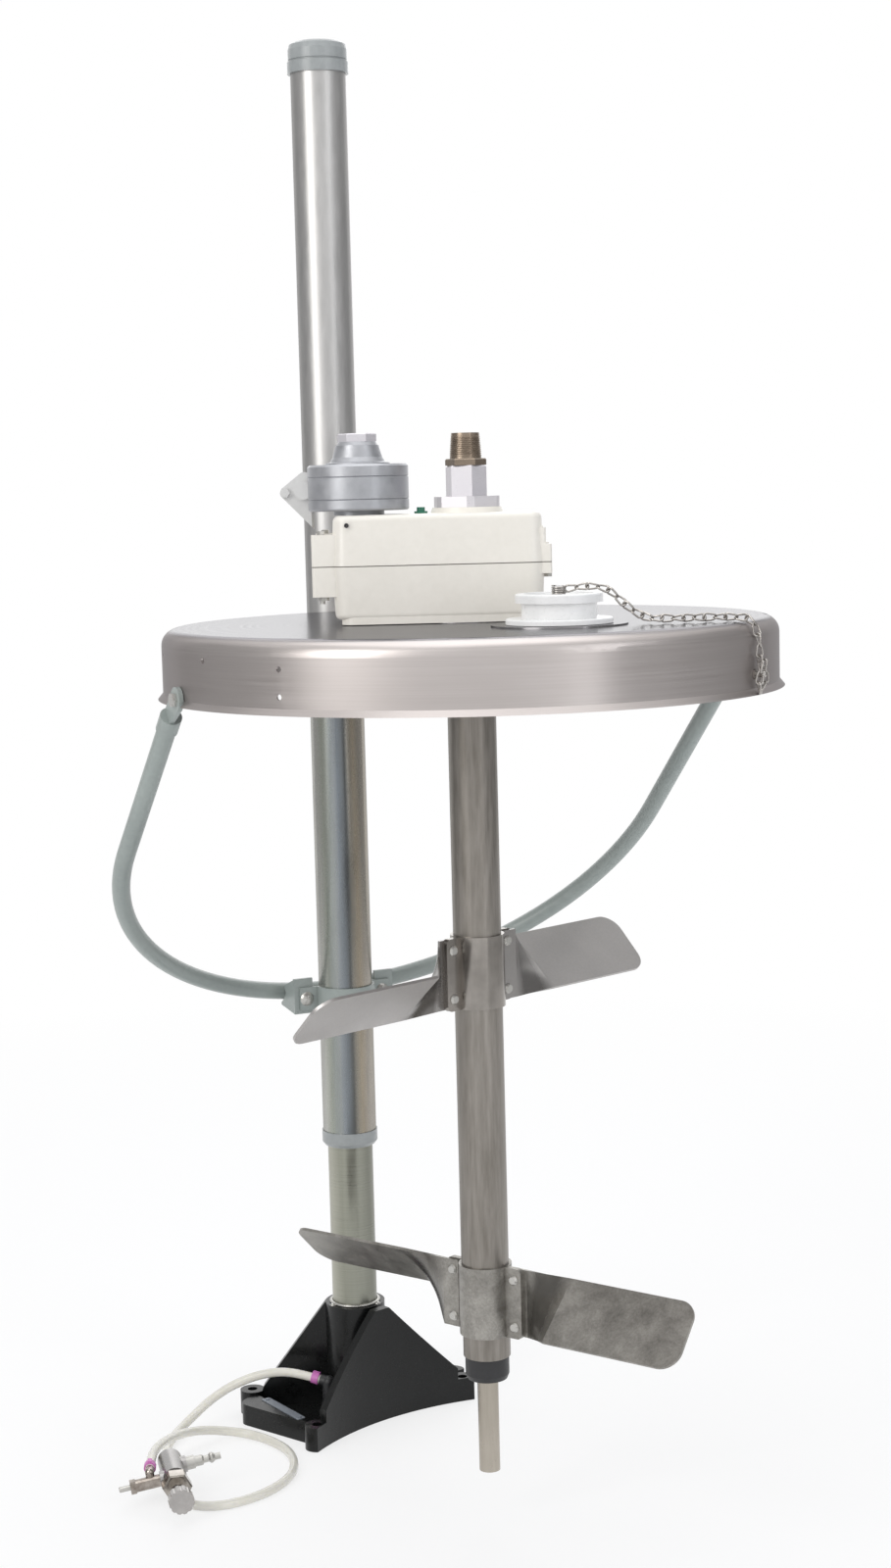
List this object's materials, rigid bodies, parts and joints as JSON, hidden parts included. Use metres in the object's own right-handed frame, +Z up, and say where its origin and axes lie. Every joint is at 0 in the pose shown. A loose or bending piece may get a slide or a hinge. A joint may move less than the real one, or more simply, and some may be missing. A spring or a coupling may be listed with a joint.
{
  "type": "tank agitator",
  "caption": "Air-driven drum agitator with two blade sets, a drum cover and a pneumatic lift that raises and swings it on a floor post.",
  "frame": {"origin": "the post's axis on the floor, the underside of the base", "axes": "+Z up along the post; -Y from the post towards the agitator's axis; +X to the right seen from the agitator's side"},
  "size_m": [0.6467, 0.7891, 1.535],
  "materials": {
    "cast_black": "gloss",
    "post_zinc": "satin",
    "lift_grey": "satin",
    "cap_steel": "satin",
    "cover_steel": "satin",
    "shaft_steel": "satin",
    "siphon_steel": "satin",
    "blade_steel": "satin",
    "brace_paint": "satin",
    "cream_paint": "gloss",
    "motor_grey": "satin",
    "nickel": "polished",
    "bronze": "satin",
    "zinc_screw": "satin",
    "chrome": "polished",
    "bare_plate": "satin",
    "black_rubber": "matte",
    "black_plastic": "satin",
    "bearing_bronze": "satin",
    "gear_steel": "satin",
    "gasket_grey": "matte",
    "white_plastic": "gloss",
    "green_plastic": "gloss",
    "hose_clear": "satin",
    "clamp_pink": "satin"
  },
  "bodies": {
    "base": {"base_casting": "cast_black", "base_nameplate": "bare_plate", "inner_post": "post_zinc", "post_piston": "black_rubber", "socket_screws": "zinc_screw", "inlet_elbow": "black_plastic", "air_hose": "hose_clear", "hose_clamps": "clamp_pink", "valve_body": "motor_grey", "valve_bonnet": "chrome", "valve_tee": "chrome", "quick_plug": "zinc_screw"},
    "valve_knob": {"valve_knob": "black_plastic"},
    "valve_plunger": {"valve_plunger": "black_plastic"},
    "lift_guide": {"guide_bushing": "white_plastic"},
    "bung": {"bung_plug": "white_plastic", "retaining_chain": "chrome"},
    "agitator": {"agitator_tube": "shaft_steel", "clamp_upper": "blade_steel", "clamp_lower": "blade_steel", "upper_blades": "blade_steel", "lower_blades": "blade_steel", "blade_rivets": "zinc_screw", "bottom_bushing": "black_plastic", "output_gear": "gear_steel"},
    "idler": {"idler_gear": "gear_steel"},
    "rotor": {"motor_rotor": "gear_steel"},
    "mast": {"lift_tube": "lift_grey", "lift_collar": "cap_steel", "wiper_seal": "black_rubber", "top_cap": "cap_steel", "drum_cover": "cover_steel", "cover_saddle": "brace_paint", "saddle_bolts": "zinc_screw", "brace_hoop": "brace_paint", "brace_ears": "brace_paint", "brace_bolts": "zinc_screw", "brace_brackets": "brace_paint", "brace_strap": "cover_steel", "strap_bolts": "zinc_screw", "gearbox_lower": "cream_paint", "gearbox_upper": "cream_paint", "gearbox_gasket": "gasket_grey", "gearbox_bolts": "zinc_screw", "vent_plug": "green_plastic", "gearbox_pad": "cover_steel", "motor_bottom": "motor_grey", "motor_body": "motor_grey", "motor_top": "motor_grey", "motor_plug": "nickel", "lever_plate": "motor_grey", "outlet_nut": "nickel", "outlet_coupling": "nickel", "outlet_nipple": "bronze", "siphon_tube": "siphon_steel", "output_bearings": "bearing_bronze", "bung_ring": "black_rubber", "chain_hook": "chrome"}
  },
  "joints": [
    {"name": "lift", "type": "slide", "parent": "base", "child": "lift_guide", "axis": [0, 0, 1], "range_m": [0, 0.914]},
    {"name": "mast_swing", "type": "hinge", "parent": "lift_guide", "child": "mast", "pos_m": [0, 0, 0.5], "axis": [0, 0, 1], "range_deg": [-120, 120]},
    {"name": "agitator_spin", "type": "hinge", "parent": "mast", "child": "agitator", "pos_m": [0, -0.351, 0.6], "axis": [0, 0, 1], "continuous": true},
    {"name": "idler_spin", "type": "hinge", "parent": "mast", "child": "idler", "pos_m": [-0.04894, -0.32379, 0.98], "axis": [0, 0, 1], "continuous": true},
    {"name": "motor_spin", "type": "hinge", "parent": "mast", "child": "rotor", "pos_m": [-0.09579, -0.30562, 1.05], "axis": [0, 0, 1], "continuous": true},
    {"name": "bung_lift", "type": "slide", "parent": "mast", "child": "bung", "axis": [0, 0, 1], "range_m": [0, 0.05]},
    {"name": "knob_turn", "type": "hinge", "parent": "base", "child": "valve_knob", "pos_m": [-0.28696, -0.21036, 0.026], "axis": [-0.2179, -0.976, 0], "range_deg": [0, 720]},
    {"name": "plunger_press", "type": "slide", "parent": "base", "child": "valve_plunger", "axis": [0.9665, -0.2157, 0.1392], "range_m": [0, 0.004], "stiffness_N_per_m": 500, "springref_m": -0.002}
  ],
  "couplings": [
    {"joint": "idler_spin", "follows": "agitator_spin", "ratio": -3},
    {"joint": "motor_spin", "follows": "agitator_spin", "ratio": 11.357}
  ]
}
